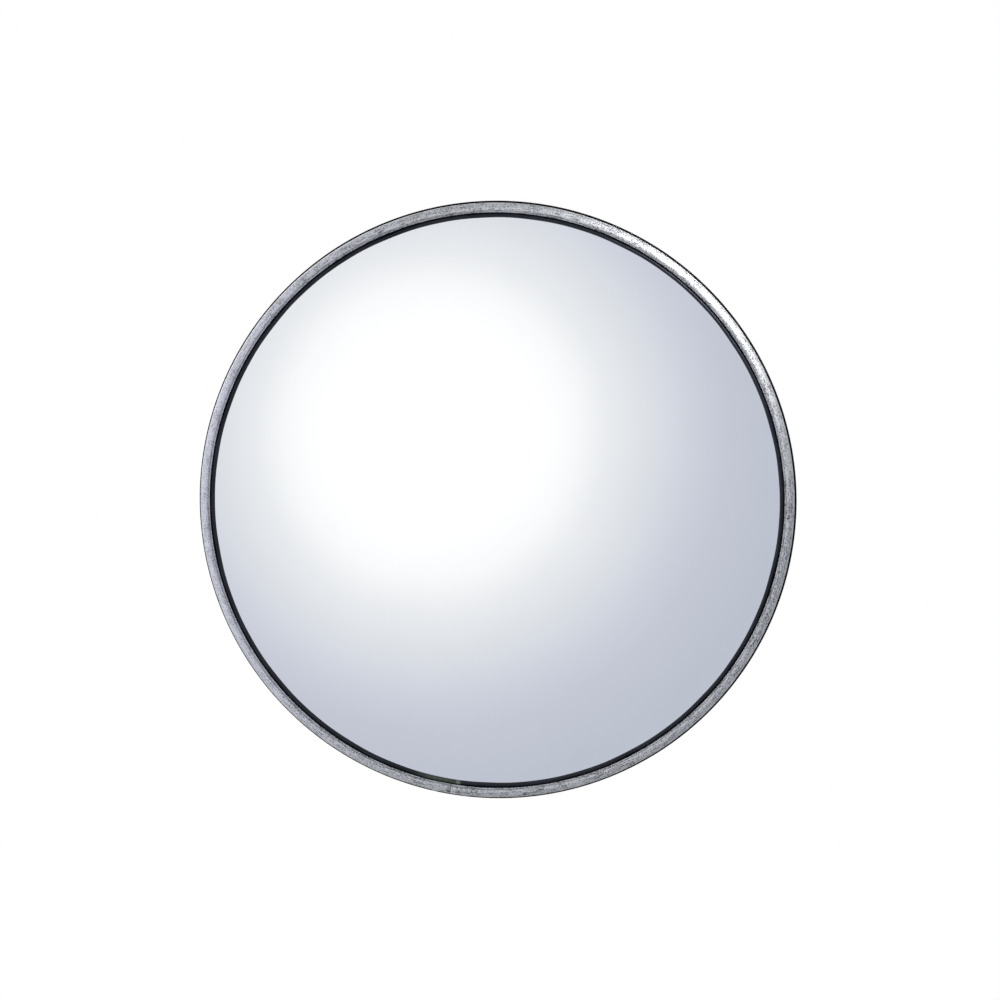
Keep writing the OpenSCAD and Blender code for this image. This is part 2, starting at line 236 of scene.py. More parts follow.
# galvanised sheet as pressed: flat crystals a few millimetres across, each its own grey
galvanisedPan = {"spangle": 6.5, "dark": "979c9f", "light": "babec1", "streak": "a7a49b",
                 "roughLow": 0.28, "roughHigh": 0.50, "wornRough": 0.18, "warp": 0.004, "stretch": 0.12}


def makeGalvanisedPan():
    look = galvanisedPan
    material, tree, shader, place = newMaterial("galvanised steel, spangled", {"Metallic": 1.0})
    warp = addNode(tree, "TexNoise", {"Scale": perSize(7), "Detail": 2.0}, {"Vector": place})
    bent = addNode(tree, "VectorMath", {"operation": "MULTIPLY_ADD", 1: (look["warp"],) * 3},
                   {0: warp.outputs["Color"], 2: place})
    spangle = addNode(tree, "TexVoronoi", {"Scale": perSize(look["spangle"])}, {"Vector": bent.outputs[0]})
    shade = addNode(tree, "SeparateColor", {}, {"Color": spangle.outputs["Color"]})
    # each crystal is feathered in its own direction
    heading = calculate(tree, "MULTIPLY", shade.outputs["Green"], 6.28)
    turned = addNode(tree, "VectorRotate", {"rotation_type": "AXIS_ANGLE", "Axis": (0, 1, 0)},
                     {"Vector": bent.outputs[0], "Angle": heading})
    stretched = addNode(tree, "Mapping", {"Scale": (1, 1, look["stretch"])}, {"Vector": turned.outputs[0]})
    feather = noise(tree, stretched.outputs[0], 0.8, 3.0, 0.6)
    value = calculate(tree, "MULTIPLY_ADD", feather, 0.7, -0.15)
    value = calculate(tree, "MULTIPLY_ADD", shade.outputs["Red"], 0.7, value)
    tint = ramp(tree, value, 0.0, look["dark"], 1.0, look["light"])
    stain = mapped(tree, noise(tree, place, 45, 5.0, 0.65), 0.55, 0.72, 0.0, 0.6)
    tint = overlay(tree, tint, stain, look["streak"])
    rough = mapped(tree, shade.outputs["Green"], 0.0, 1.0, look["roughLow"], look["roughHigh"])
    linkLook(tree, shader, tint, calculate(tree, "MULTIPLY_ADD", stain, look["wornRough"], rough))
    fine = noise(tree, place, 0.9, 3.0)
    linkBump(tree, shader, calculate(tree, "MULTIPLY_ADD", feather, 0.5, fine), 0.18, 0.03)
    return material


# zinc plating over cut and welded plate: bright and slightly blue, with fine drawn scratches
def makePlate(name, light, dark, grain, roughLow, roughHigh):
    material, tree, shader, place = newMaterial(name, {"Metallic": 1.0})
    cloud = noise(tree, place, 14, 4.0, 0.6)
    fine = noise(tree, place, grain, 3.0, 0.6)
    scratch = addNode(tree, "Mapping", {"Scale": (1, 1, 14)}, {"Vector": place})
    lines = noise(tree, scratch.outputs[0], 7, 2.5, 0.6)
    blend = calculate(tree, "MULTIPLY_ADD", fine, 0.4, cloud)
    linkLook(tree, shader, ramp(tree, blend, 0.45, dark, 0.95, light),
             mapped(tree, lines, 0.1, 0.8, roughLow, roughHigh))
    linkBump(tree, shader, blend, 0.15, 0.03)
    return material


# turned metal: rings left by the tool run round the arm's axis
def makeTurned(name, light, dark, pitch, roughness):
    material, tree, shader, place = newMaterial(name, {"Metallic": 1.0, "Roughness": roughness})
    split = addNode(tree, "SeparateXYZ", {}, {"Vector": place})
    rings = addNode(tree, "TexNoise", {"noise_dimensions": "1D", "Scale": perSize(pitch), "Detail": 2.0},
                    {"W": split.outputs["Y"]}).outputs["Fac"]
    blend = calculate(tree, "MULTIPLY_ADD", rings, 0.35, noise(tree, place, 9, 4.0))
    linkLook(tree, shader, ramp(tree, blend, 0.45, dark, 0.9, light))
    linkBump(tree, shader, rings, 0.25, 0.02)
    return material


# EPDM extrusion: deep blue-black, a dull skin with a soft shine, and a painted reflection: grey-green patches
# painted on the lip near the bottom
sealLook = {"base": "10131b", "dust": "242932", "roughness": 0.42, "forward": 46.5, "amount": 1.3,
            "paintedReflections": [("4f594b", 258.5, 14, 146.4), ("76876f", 262.3, 2.0, 145.4)]}


def makeSealRubber():
    look = sealLook
    material, tree, shader, place = newMaterial(
        "EPDM rubber, extruded", {"IOR": 1.48, "Specular IOR Level": 0.22})
    fine = noise(tree, place, 1.1, 4.0)
    tint = ramp(tree, noise(tree, place, 16, 3.0), 0.35, look["base"], 0.8, look["dust"])
    # painted reflection: grey-green patches laid on the lip near the joint at the bottom
    for shade, angle, reach, radius in look["paintedReflections"]:
        away = distance(tree, place, onHead(radius, angle, look["forward"]))
        mask = mapped(tree, away, 0.3 * reach * mm, reach * mm, look["amount"], 0.0, smooth=True)
        tint = overlay(tree, tint, calculate(tree, "MULTIPLY", mask, fine, clamp=True), shade)
    rough = mapped(tree, fine, 0.0, 1.0, look["roughness"] - 0.08, look["roughness"] + 0.14)
    linkLook(tree, shader, tint, rough)
    linkBump(tree, shader, fine, 0.2, 0.04)
    return material


def makeMoulded(name, light, dark, grain, roughness, settings):
    material, tree, shader, place = newMaterial(name, settings)
    fine = noise(tree, place, grain, 3.0)
    linkLook(tree, shader, ramp(tree, noise(tree, place, 12, 3.0), 0.3, dark, 0.75, light),
             mapped(tree, fine, 0.0, 1.0, roughness - 0.1, roughness + 0.1))
    linkBump(tree, shader, fine, 0.25, 0.05)
    return material


# silvered float glass: the silver's colour under a clear hard front, with a trace of dust
def makeSilvered():
    settings = {"Metallic": 1.0, "Coat Weight": 0.35, "Coat Roughness": 0.01, "Coat IOR": 1.52}
    material, tree, shader, place = newMaterial("silvered float glass", settings)
    film = noise(tree, place, 60, 5.0, 0.6)
    linkLook(tree, shader, ramp(tree, film, 0.3, "f4f6f7", 0.8, "f7f8f9"),
             mapped(tree, film, 0.0, 1.0, 0.015, 0.04))
    return material


materials = {
    "bracket_steel": makePlate("mild steel, zinc plated", "c4c7c9", "a0a4a8", 0.6, 0.24, 0.42),
    "fastener_zinc": makePlate("steel fastener, bright zinc", "d5d6d4", "9b9d9e", 0.4, 0.18, 0.34),
    "turned_steel": makeTurned("turned steel, nickel plated", "bdbcb8", "85857f", 0.35, 0.24),
    "ball_steel": makeTurned("bearing steel, polished", "d8d8da", "b4b4b8", 0.6, 0.09),
    "insert_brass": makeTurned("brass, turned", "c9a45a", "94743a", 0.4, 0.28),
    "pan_galvanised": makeGalvanisedPan(),
    "rim_galvanised": makeGalvanisedRim(),
    "gasket_rubber": makeSealRubber(),
    "pad_foam": makeMoulded("polyethylene foam strip", "2c2d2f", "1b1c1e", 0.8, 0.85, {"IOR": 1.5}),
    "nylon": makeMoulded("nylon, natural", "e6e2d4", "d2cdbd", 0.5, 0.42,
                         {"IOR": 1.53, "Subsurface Weight": 0.15, "Subsurface Scale": 0.002}),
    "knob_plastic": makeMoulded("phenolic, moulded black", "1b1b1d", "101012", 0.7, 0.36, {"IOR": 1.6}),
    "mirror_glass": makeSilvered(),
}
groundGlass = makeMoulded("float glass, ground edge", "7f9c8e", "5c7a6c", 0.3, 0.5,
                          {"IOR": 1.52, "Transmission Weight": 0.4})
backingPaint = makeMoulded("mirror backing paint, grey", "6f7478", "5b6064", 0.8, 0.6, {"IOR": 1.5})
for name, node in nodes.items():
    node.data.materials.clear()
    node.data.materials.append(materials[slotOf[name]])
print("materials made:", len(bpy.data.materials))


# ---- making pieces ----

def newPiece(name, bm, place, slot, replaced=(), body=None, keepShading=False):
    # closes a bmesh into an object at the origin, which rides on a body
    bmesh.ops.transform(bm, matrix=place, verts=bm.verts)
    mesh = bpy.data.meshes.new(name)
    bm.to_mesh(mesh)
    bm.free()
    if not keepShading:
        mesh.shade_smooth()
    mesh.materials.append(materials[slot])
    piece = bpy.data.objects.new(name, mesh)
    bpy.context.scene.collection.objects.link(piece)
    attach(piece, body or bodyOf[replaced[0]])
    if replaced:
        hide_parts(*replaced)
    return piece


def arc(centre, radius, start, end, count):
    # points on an arc in the (radius, forward) plane, angles in degrees
    turns = [math.radians(start + (end - start) * i / count) for i in range(count + 1)]
    return [(centre[0] + radius * math.cos(t), centre[1] + radius * math.sin(t)) for t in turns]


def slopedBead(centre, half, slope, end, count):
    # an arc sheared so that its outer side slopes away gently
    lift = half * (math.hypot(1, slope) - 1)
    return [(r, z - slope * (r - centre[0]) - lift) for r, z in arc(centre, half, 0, end, count)]


def spin(bm, outline, steps, closed=True, start=0.0, angle=math.tau, rise=0.0):
    # turns an outline of (radius, forward) points round the z axis
    verts = [bm.verts.new((radius * math.cos(start), radius * math.sin(start), forward))
             for radius, forward in outline]
    pairs = zip(verts, verts[1:] + verts[:1]) if closed else zip(verts, verts[1:])
    edges = [bm.edges.new(pair) for pair in pairs]
    whole = abs(angle - math.tau) < 1e-9 and rise == 0
    bmesh.ops.spin(bm, geom=verts + edges, cent=(0, 0, 0), axis=(0, 0, 1), dvec=(0, 0, rise / steps),
                   angle=angle, steps=steps, use_merge=whole)
    bmesh.ops.remove_doubles(bm, verts=bm.verts, dist=1e-4)


def outward(bm):
    bmesh.ops.recalc_face_normals(bm, faces=bm.faces)


def ease(t):
    t = min(max(t, 0), 1)
    return t * t * (3 - 2 * t)


def join(bm, other):
    # adds one bmesh to another and frees it
    mesh = bpy.data.meshes.new("joined")
    other.to_mesh(mesh)
    other.free()
    bm.from_mesh(mesh)
    bpy.data.meshes.remove(mesh)


edgeAngle = math.radians(32)   # a steeper fold than this is a real edge
curveAngles = (0.01, 0.55)     # folds between these, in radians, are the facets of a curve


def finished(node, width, name):
    # a copy of a plain part with its edges eased, as filing or tumbling leaves them
    bm = bmesh.new()
    bm.from_mesh(nodes[node].data)
    bmesh.ops.remove_doubles(bm, verts=bm.verts, dist=1e-7)
    bmesh.ops.dissolve_limit(bm, angle_limit=math.radians(0.5), verts=bm.verts, edges=bm.edges)
    outward(bm)
    sharp = [edge for edge in bm.edges if edge.is_manifold and edge.calc_face_angle() > edgeAngle]
    curved = {edge for edge in bm.edges
              if edge.is_manifold and curveAngles[0] < edge.calc_face_angle() < curveAngles[1]}
    flat = [face for face in bm.faces if not curved.intersection(face.edges)]
    for face in bm.faces:
        face.smooth = True
    for face in flat:
        face.smooth = False
    eased = bmesh.ops.bevel(bm, geom=sharp, offset=width * mm, offset_type="OFFSET", segments=2,
                            profile=0.5, affect="EDGES", clamp_overlap=True, material=-1)
    for face in eased["faces"]:
        face.smooth = True
    return newPiece(name, bm, Matrix.Identity(4), slotOf[node], [node], keepShading=True)


# ---- the front: glass, seal and rim ----

glass = {"rise": 30.0, "thickness": 3.0, "arris": 0.3, "rings": 64, "rearRings": 24, "steps": 256}


def domeHeight(radius, inset=0.0):
    return glass["domeZ"] + math.sqrt((glass["domeRadius"] - inset) ** 2 - radius ** 2)


def makeGlass():
    edgeRadius, apex = turnedSize("mirror_glass")[::2]
    # both faces of the bent sheet share one centre
    glass["domeRadius"] = (edgeRadius ** 2 + glass["rise"] ** 2) / (2 * glass["rise"])
    glass["domeZ"] = apex - glass["domeRadius"]
    arris, inset = glass["arris"], glass["thickness"]
    faceRadius = edgeRadius - arris
    front = [faceRadius * i / glass["rings"] for i in range(glass["rings"] + 1)]
    front = [(radius, domeHeight(radius)) for radius in front]
    back = [faceRadius * i / glass["rearRings"] for i in range(glass["rearRings"], -1, -1)]
    back = [(radius, domeHeight(radius, inset)) for radius in back]
    edge = [(edgeRadius, domeHeight(edgeRadius) - arris),
            (edgeRadius, domeHeight(edgeRadius, inset) + arris * 0.5)]
    bm = bmesh.new()
    spin(bm, front + edge + back, glass["steps"])
    outward(bm)
    # silver faces the front, paint the rear, and the ground edge lies between
    for face in bm.faces:
        middle = face.calc_center_median()
        span = math.hypot(middle.x, middle.y)
        face.material_index = 1 if span > faceRadius - 0.05 else 0 if face.normal.z > 0 else 2
        face.smooth = True
    for edge in bm.edges:
        if all(abs(math.hypot(vert.co.x, vert.co.y) - faceRadius) < 0.01 for vert in edge.verts):
            edge.smooth = False
    piece = newPiece("mirrorGlass", bm, ballFrame, "mirror_glass", ["mirror_glass"], keepShading=True)
    piece.data.materials.append(groundGlass)
    piece.data.materials.append(backingPaint)


seal = {"rimGap": 0.6, "lipWidth": 2.2, "crown": 0.75, "crevice": 1.35, "shoulder": 2.35, "steps": 256,
        "wander": 0.22, "waves": [(9, 0.4), (14, 2.1), (23, 4.0), (37, 1.3)]}


def makeSeal():
    outer, rear, top = turnedSize("rim_gasket")
    rimInner = turnedSize("rim_band")[0] - rim["hemStep"] - rim["beadWidth"] - seal["rimGap"]
    lip, shoulder, sheet = rimInner - seal["lipWidth"], top - seal["shoulder"], glass["thickness"]
    slot = turnedSize("mirror_glass")[0]
    crown = (lip + seal["crown"], top - seal["crown"])
    outline = [(lip, domeHeight(lip) - 0.1), (lip, crown[1] - 0.2)]
    outline += arc(crown, seal["crown"], 180, 35, 10)
    outline += [(lip + 1.85, top - seal["crevice"]), (lip + 2.1, top - 2.1), (lip + 3.2, shoulder)]
    outline += [(outer, shoulder), (outer, rear), (lip, rear), (lip, domeHeight(lip, sheet))]
    outline += [(slot + 0.02, domeHeight(slot, sheet)), (slot + 0.02, domeHeight(slot))]
    bm = bmesh.new()
    spin(bm, outline, seal["steps"])
    # the lip is pressed in by hand, so it wanders a little
    for vert in bm.verts:
        radius, turn = math.hypot(vert.co.x, vert.co.y), math.atan2(vert.co.y, vert.co.x)
        if radius < lip + 1.9 and vert.co.z > top - 1.6:
            waves = [math.sin(count * turn + phase) for count, phase in seal["waves"]]
            vert.co.xy *= 1 + seal["wander"] * sum(waves) / len(waves) / radius
    outward(bm)
    return newPiece("rimSeal", bm, ballFrame, "gasket_rubber", ["rim_gasket"])


def makeRim():
    radius, rear, top = turnedSize("rim_band")
    skirt = radius - rim["hemStep"]
    half = rim["beadWidth"] / 2
    beadZ = top - half
    curlCentre = (skirt - rim["beadWidth"] - rim["curlInset"], beadZ + rim["curlLift"])
    foot, shoulder, hemZ = rim["hemFoot"], rim["hemTop"], rear + rim["hemHeight"]
    path = [(skirt - reach, rear) for reach in rim["skirtReach"]]
    path += arc((radius - foot, rear + foot), foot, -90, 0, 5)
    path += arc((radius - shoulder, hemZ - shoulder), shoulder, 0, 90, 5)
    path += [(skirt + 0.06, hemZ + 0.02), (skirt, hemZ + 0.2)]
    path += slopedBead((skirt - half, beadZ), half, rim["slope"], rim["beadEnd"], 30)
    path += arc(curlCentre, rim["curl"], rim["curlFrom"], rim["curlTo"], 12)
    gap = rim["jointGap"] / radius
    bm = bmesh.new()
    spin(bm, path, rim["steps"], closed=False, start=math.radians(rim["jointAngle"]) + gap / 2,
         angle=math.tau - gap)
    outward(bm)
    apex = max(bm.faces, key=lambda face: face.calc_center_median().z)
    if apex.normal.z < 0:
        bmesh.ops.reverse_faces(bm, faces=bm.faces)
    bmesh.ops.solidify(bm, geom=bm.faces[:], thickness=rim["sheet"])
    bm.normal_update()
    # the cut ends stay crisp
    for face in bm.faces:
        middle = face.calc_center_median()
        along = Vector((-middle.y, middle.x, 0)).normalized()
        face.smooth = abs(face.normal.dot(along)) < 0.5
    return newPiece("rimBand", bm, ballFrame, "rim_galvanised", ["rim_band"], keepShading=True)


rivets = {"spread": 3.0, "radius": 1.8, "height": 0.45, "shank": 1.2, "depth": 1.9}


def makeRivets():
    # low domed heads on the skirt, either side of the joint
    low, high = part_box("splice_rivets")
    forward = (2 * ballCentre.y - low.y - high.y) / 2 / mm
    skirt = turnedSize("rim_band")[0] - rim["hemStep"]
    wide, tall, shank, depth = rivets["radius"], rivets["height"], rivets["shank"], rivets["depth"]
    outline = [(0, -depth), (shank, -depth), (shank, 0), (wide, 0), (wide * 0.9, tall * 0.6),
               (wide * 0.55, tall * 0.95), (0, tall)]
    bm = bmesh.new()
    for side in (-1, 1):
        head = bmesh.new()
        spin(head, outline, 24)
        outward(head)
        turn = Matrix.Rotation(math.radians(rim["jointAngle"] + side * rivets["spread"]), 4, "Z")
        bmesh.ops.transform(head, matrix=turn @ Matrix.Translation((skirt, 0, forward))
                            @ Matrix.Rotation(math.radians(90), 4, "Y"), verts=head.verts)
        join(bm, head)
    return newPiece("spliceRivets", bm, ballFrame, "fastener_zinc", ["splice_rivets"])


makeGlass()
makeSeal()
makeRim()
makeRivets()
print("front made")


# ---- the back pan ----

pan = {"sheet": 0.8, "bore": 17, "centreFlat": 62, "shoulderWidth": 10, "shoulderShare": 0.3,
       "flankWidth": 22, "flankStart": 24, "padWidth": 10, "weepRadius": 3, "weepInset": 14,
       "weepAngles": (255, 270, 285), "rings": 90, "steps": 256}


def makePan():
    outer, rear, front = turnedSize("back_pan")
    depth = front - pan["sheet"] - rear
    padInner = turnedSize("edge_pad")[0] - pan["padWidth"]

    def height(radius):
        shoulder = pan["shoulderShare"] * ease((radius - pan["centreFlat"]) / pan["shoulderWidth"])
        flank = ease((radius - padInner + pan["flankStart"]) / pan["flankWidth"])
        return rear + depth * (shoulder + (1 - pan["shoulderShare"]) * flank)

    width = outer - pan["bore"]
    radii = [pan["bore"] + width * i / pan["rings"] for i in range(pan["rings"] + 1)]
    outline = [(r, height(r)) for r in radii] + [(r, height(r) + pan["sheet"]) for r in reversed(radii)]
    bm = bmesh.new()
    spin(bm, outline, pan["steps"])
    outward(bm)
    piece = newPiece("backPan", bm, ballFrame, "pan_galvanised", ["back_pan"])
    cutterMesh = bmesh.new()
    for angle in pan["weepAngles"]:
        turn = Matrix.Rotation(math.radians(angle), 4, "Z")
        middle = Matrix.Translation((padInner - pan["weepInset"], 0, rear + depth / 2))
        bmesh.ops.create_cone(cutterMesh, cap_ends=True, segments=40, radius1=pan["weepRadius"],
                              radius2=pan["weepRadius"], depth=3 * depth, matrix=ballFrame @ turn @ middle)
    holes = bpy.data.meshes.new("weepCutter")
    cutterMesh.to_mesh(holes)
    cutterMesh.free()
    cutter = bpy.data.objects.new("weepCutter", holes)
    bpy.context.scene.collection.objects.link(cutter)
    cut = piece.modifiers.new("weep", "BOOLEAN")
    cut.operation = "DIFFERENCE"
    cut.solver = "EXACT"
    cut.object = cutter
    bpy.context.view_layer.update()
    shaped = bpy.data.meshes.new_from_object(piece.evaluated_get(bpy.context.evaluated_depsgraph_get()))
    piece.modifiers.clear()
    # the cut leaves slivers round the holes
    bm = bmesh.new()
    bm.from_mesh(shaped)
    bmesh.ops.remove_doubles(bm, verts=bm.verts, dist=2e-6)
    bmesh.ops.dissolve_degenerate(bm, edges=bm.edges, dist=1e-6)
    bm.to_mesh(shaped)
    bm.free()
    piece.data = shaped
    bpy.data.objects.remove(cutter)


makePan()
print("pan made")


# ---- the bracket ----

easing = {
    "wall_plate": 0.5, "wall_knuckle": 0.5, "hinge_bolt": 0.4, "hinge_washers": 0.25, "arm_eye": 0.4,
    "arm_bushes": 0.25, "arm_tube": 0.2, "socket_cup": 0.5, "socket_collar": 0.35, "friction_liner": 0.2,
    "pivot_ball": 0.25, "stem_jam_nut": 0.4, "stem_washer": 0.25, "stem_nut": 0.4, "mount_plate": 0.5,
    "weld_nuts": 0.3, "knob_insert": 0.2,
}
for node, width in easing.items():
    words = node.split("_")
    finished(node, width, words[0] + "".join(word.title() for word in words[1:]))
print("plain parts eased:", len(easing))

knob = {"lobes": 6, "lobeDepth": 3.0, "lobeFrom": 11, "lobeWidth": 5, "neckRadius": 10, "bore": 6.03,
        "crown": 16.9, "dish": 7.0, "steps": 216}


def makeKnob():
    low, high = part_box("knob_body")
    foot, top = (low.z - pinCentre.z) / mm, (high.z - pinCentre.z) / mm
    boreTop = (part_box("knob_insert")[1].z - pinCentre.z) / mm + 0.03
    neck, crown, dish = knob["neckRadius"], knob["crown"], knob["dish"]
    outline = [(0, top - 0.9), (dish - 0.8, top - 0.9)] + arc((dish - 0.8, top - 0.3), 0.6, -90, -20, 4)
    outline += arc((dish + 0.7, top - 0.5), 0.5, 160, 90, 4)
    outline += [(11, top - 0.05), (13, top - 0.2)] + arc((crown - 3, top - 3.3), 3, 80, 0, 8)
    outline += [(crown, foot + 7.5)] + arc((crown - 2.2, foot + 6.4), 2.2, 0, -80, 6)
    outline += [(12.6, foot + 3.9)] + arc((neck + 0.9, foot + 3.0), 0.9, 90, 180, 4)
    outline += arc((neck - 0.5, foot + 0.5), 0.5, 0, -90, 4)
    bore = knob["bore"]
    outline += [(bore + 0.3, foot), (bore, foot + 0.3), (bore, boreTop), (0, boreTop)]
    bm = bmesh.new()
    spin(bm, outline, knob["steps"], closed=False)
    # the grip swells and narrows round the axis
    for vert in bm.verts:
        radius, turn = math.hypot(vert.co.x, vert.co.y), math.atan2(vert.co.y, vert.co.x)
        if radius > knob["lobeFrom"]:
            reach = knob["lobeDepth"] * ease((radius - knob["lobeFrom"]) / knob["lobeWidth"])
            vert.co.xy *= (radius + reach * math.cos(knob["lobes"] * turn)) / radius
    outward(bm)
    return newPiece("starKnob", bm, pinFrame, "knob_plastic", ["knob_body"])


thread = {"pitch": 1.25, "root": 3.42, "crest": 3.98, "shank": 4.0, "start": 12.6, "stepsPerTurn": 30}


def makeStem():
    headRadius, rear, front = turnedSize("ball_stem")
    shank, root, crest = thread["shank"], thread["root"], thread["crest"]
    bm = bmesh.new()
    outline = [(0, rear), (headRadius, rear), (shank, rear + headRadius - shank)]
    outline += [(shank, thread["start"] - 0.8), (root, thread["start"]), (root, front - 0.7)]
    outline += [(root - 0.6, front), (0, front)]
    spin(bm, outline, 64, closed=False)
    outward(bm)
    turns = (front - 1.2 - thread["start"]) / thread["pitch"]
    start = thread["start"] + 0.4
    ridge = bmesh.new()
    flank, flat = thread["pitch"] * 0.44, thread["pitch"] * 0.08
    profile = [(root - 0.1, start - flank), (crest, start - flat), (crest, start + flat),
               (root - 0.1, start + flank)]
    spin(ridge, profile, round(turns * thread["stepsPerTurn"]), angle=math.tau * turns,
         rise=turns * thread["pitch"])
    bmesh.ops.holes_fill(ridge, edges=[edge for edge in ridge.edges if edge.is_boundary], sides=4)
    outward(ridge)
    join(bm, ridge)
    return newPiece("threadedStem", bm, ballFrame, "turned_steel", ["ball_stem"])


screw = {"circle": 35, "headRadius": 4.75, "headHeight": 3.2, "round": 2.3, "shank": 2.5,
         "socket": 1.55, "socketDepth": 1.7, "turns": (17, 58, 99, 140)}


def makeScrews():
    rear, front = turnedSize("plate_screws")[1:]
    seat = rear + screw["headHeight"]
    head, shank, socket = screw["headRadius"], screw["shank"], screw["socket"]
    floor = rear + screw["socketDepth"]
    outline = [(0, floor), (socket, floor), (socket, rear + 0.2), (socket + 0.25, rear),
               (head - screw["round"], rear)]
    outline += arc((head - screw["round"], rear + 1.9), screw["round"], -75, -8, 8)[1:]
    outline += [(head, rear + 2.1), (head, seat - 0.2), (head - 0.2, seat), (shank, seat)]
    outline += [(shank, front - 0.5), (shank - 0.5, front), (0, front)]
    bm = bmesh.new()
    for corner in range(4):
        one = bmesh.new()
        spin(one, outline, 48, closed=False)
        # the socket is six-sided
        for vert in one.verts:
            radius = math.hypot(vert.co.x, vert.co.y)
            if abs(radius - socket) < 0.01:
                turn = math.atan2(vert.co.y, vert.co.x) % math.radians(60) - math.radians(30)
                vert.co.xy *= math.cos(math.radians(30)) / math.cos(turn) * 1.06
        outward(one)
        bmesh.ops.transform(one, matrix=onPlate(corner, screw["turns"][corner]), verts=one.verts)
        join(bm, one)
    return newPiece("plateScrews", bm, ballFrame, "fastener_zinc", ["plate_screws"])


def onPlate(corner, turn):
    # one of the four places on the plate, the piece there turned about its own axis
    around = Matrix.Rotation(math.radians(45 + 90 * corner), 4, "Z")
    return around @ Matrix.Translation((screw["circle"], 0, 0)) @ Matrix.Rotation(math.radians(turn), 4, "Z")


springWasher = {"inner": 2.65, "outer": 4.45, "gap": 11, "round": 0.15, "turns": (80, 150, 220, 290)}


def makeSpringWashers():
    rear, front = turnedSize("plate_washers")[1:]
    inner, outer, soft = springWasher["inner"], springWasher["outer"], springWasher["round"]
    outline = [(inner, rear + soft), (inner + soft, rear), (outer - soft, rear), (outer, rear + soft),
               (outer, front - soft), (outer - soft, front), (inner + soft, front), (inner, front - soft)]
    bm = bmesh.new()
    for corner in range(4):
        one = bmesh.new()
        spin(one, outline, 44, angle=math.radians(360 - springWasher["gap"]))
        bmesh.ops.holes_fill(one, edges=[edge for edge in one.edges if edge.is_boundary], sides=8)
        outward(one)
        bmesh.ops.transform(one, matrix=onPlate(corner, springWasher["turns"][corner]), verts=one.verts)
        join(bm, one)
    return newPiece("springWashers", bm, ballFrame, "fastener_zinc", ["plate_washers"])


weld = {"radius": 1.25, "pitch": 1.3, "ripple": 0.16, "uneven": 0.03, "sides": 12,
        "tubeGap": 0.35, "ringSteps": 168, "lineSteps": 90}


def makeWeld(name, path, place, body, closed=True):
    # a bead laid along a path, each ring a little larger where the puddle paused
    bm = bmesh.new()
    loops = []
    random.seed(name)
    travelled = 0
    for i, point in enumerate(path):
        ahead = path[(i + 1) % len(path)] if closed else path[min(i + 1, len(path) - 1)]
        behind = path[i - 1] if closed else path[max(i - 1, 0)]
        pause = abs(math.sin(math.pi * travelled / weld["pitch"]))
        size = weld["radius"] * (1 - weld["ripple"] * pause + random.uniform(-weld["uneven"], weld["uneven"]))
        if not closed:
            size *= math.sqrt(max(0.12, min(1, i / 5, (len(path) - 1 - i) / 5)))
        turn = (ahead - behind).to_track_quat("Z", "Y").to_matrix().to_4x4()
        ring = bmesh.ops.create_circle(bm, cap_ends=False, segments=weld["sides"], radius=size,
                                       matrix=Matrix.Translation(point) @ turn)["verts"]
        loops.append({edge for vert in ring for edge in vert.link_edges})
        travelled += (ahead - point).length
    for loop, following in zip(loops, loops[1:] + (loops[:1] if closed else [])):
        bmesh.ops.bridge_loops(bm, edges=list(loop) + list(following))
    if not closed:
        bmesh.ops.holes_fill(bm, edges=[edge for edge in bm.edges if edge.is_boundary], sides=weld["sides"])
    outward(bm)
    return newPiece(name, bm, place, "bracket_steel", body=body)


def makeWelds():
    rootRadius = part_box("arm_tube")[1].x / mm + weld["tubeGap"]
    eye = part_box("arm_eye")[1].x / mm
    cupRear = turnedSize("socket_cup")[1]
    turns = [math.tau * i / weld["ringSteps"] for i in range(weld["ringSteps"])]
    circle = [(rootRadius * math.cos(t), rootRadius * math.sin(t)) for t in turns]
    makeWeld("cupWeld", [Vector((x, y, cupRear - 0.1)) for x, y in circle], ballFrame, "swing_arm")
    # where the tube meets the eye, the seam is a saddle
    saddle = [Vector((x, -math.sqrt(max(eye ** 2 - x ** 2, 0)) - 0.25, z)) for x, z in circle]
    makeWeld("eyeWeld", saddle, pinFrame, "swing_arm")
    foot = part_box("wall_knuckle")[1]
    face = (foot.y - pinCentre.y) / mm
    side, half = foot.x / mm, (foot.z - pinCentre.z) / mm - 1.5
    heights = [-half + 2 * half * i / weld["lineSteps"] for i in range(weld["lineSteps"] + 1)]
    for name, x in (("knuckleWeldLeft", -side), ("knuckleWeldRight", side)):
        line = [Vector((x + math.copysign(0.2, x), face - 0.5, height)) for height in heights]
        makeWeld(name, line, pinFrame, "wall_bracket", closed=False)


makeKnob()
makeStem()
makeScrews()
makeSpringWashers()
makeWelds()
print("bracket dressed")


# ---- stage, light and camera ----

stage = {"floorDrop": 1.2, "floorRadius": 4.0}
floorMesh = bmesh.new()
bmesh.ops.create_circle(floorMesh, cap_ends=True, radius=stage["floorRadius"], segments=96)
bmesh.ops.translate(floorMesh, vec=(0, 0, -stage["floorDrop"]), verts=floorMesh.verts)
floorData = bpy.data.meshes.new("floor")
floorMesh.to_mesh(floorData)
floorMesh.free()
floor = bpy.data.objects.new("floor", floorData)
bpy.context.scene.collection.objects.link(floor)
floorData.materials.append(makeMoulded("painted floor, matt", "f4f4f5", "ededee", 3, 0.8, {"IOR": 1.45}))
floor.visible_glossy = False

# the studio as the dome sees it: a large soft glow up and to the left, falling away to a cool grey
studio = {"glowAzimuth": -15.5, "glowElevation": 8.5, "glowReach": 70.0, "brightSide": 182,
          "sideFrom": 56, "sideTo": 68, "rearFrom": 0.47, "rearTo": 0.61}
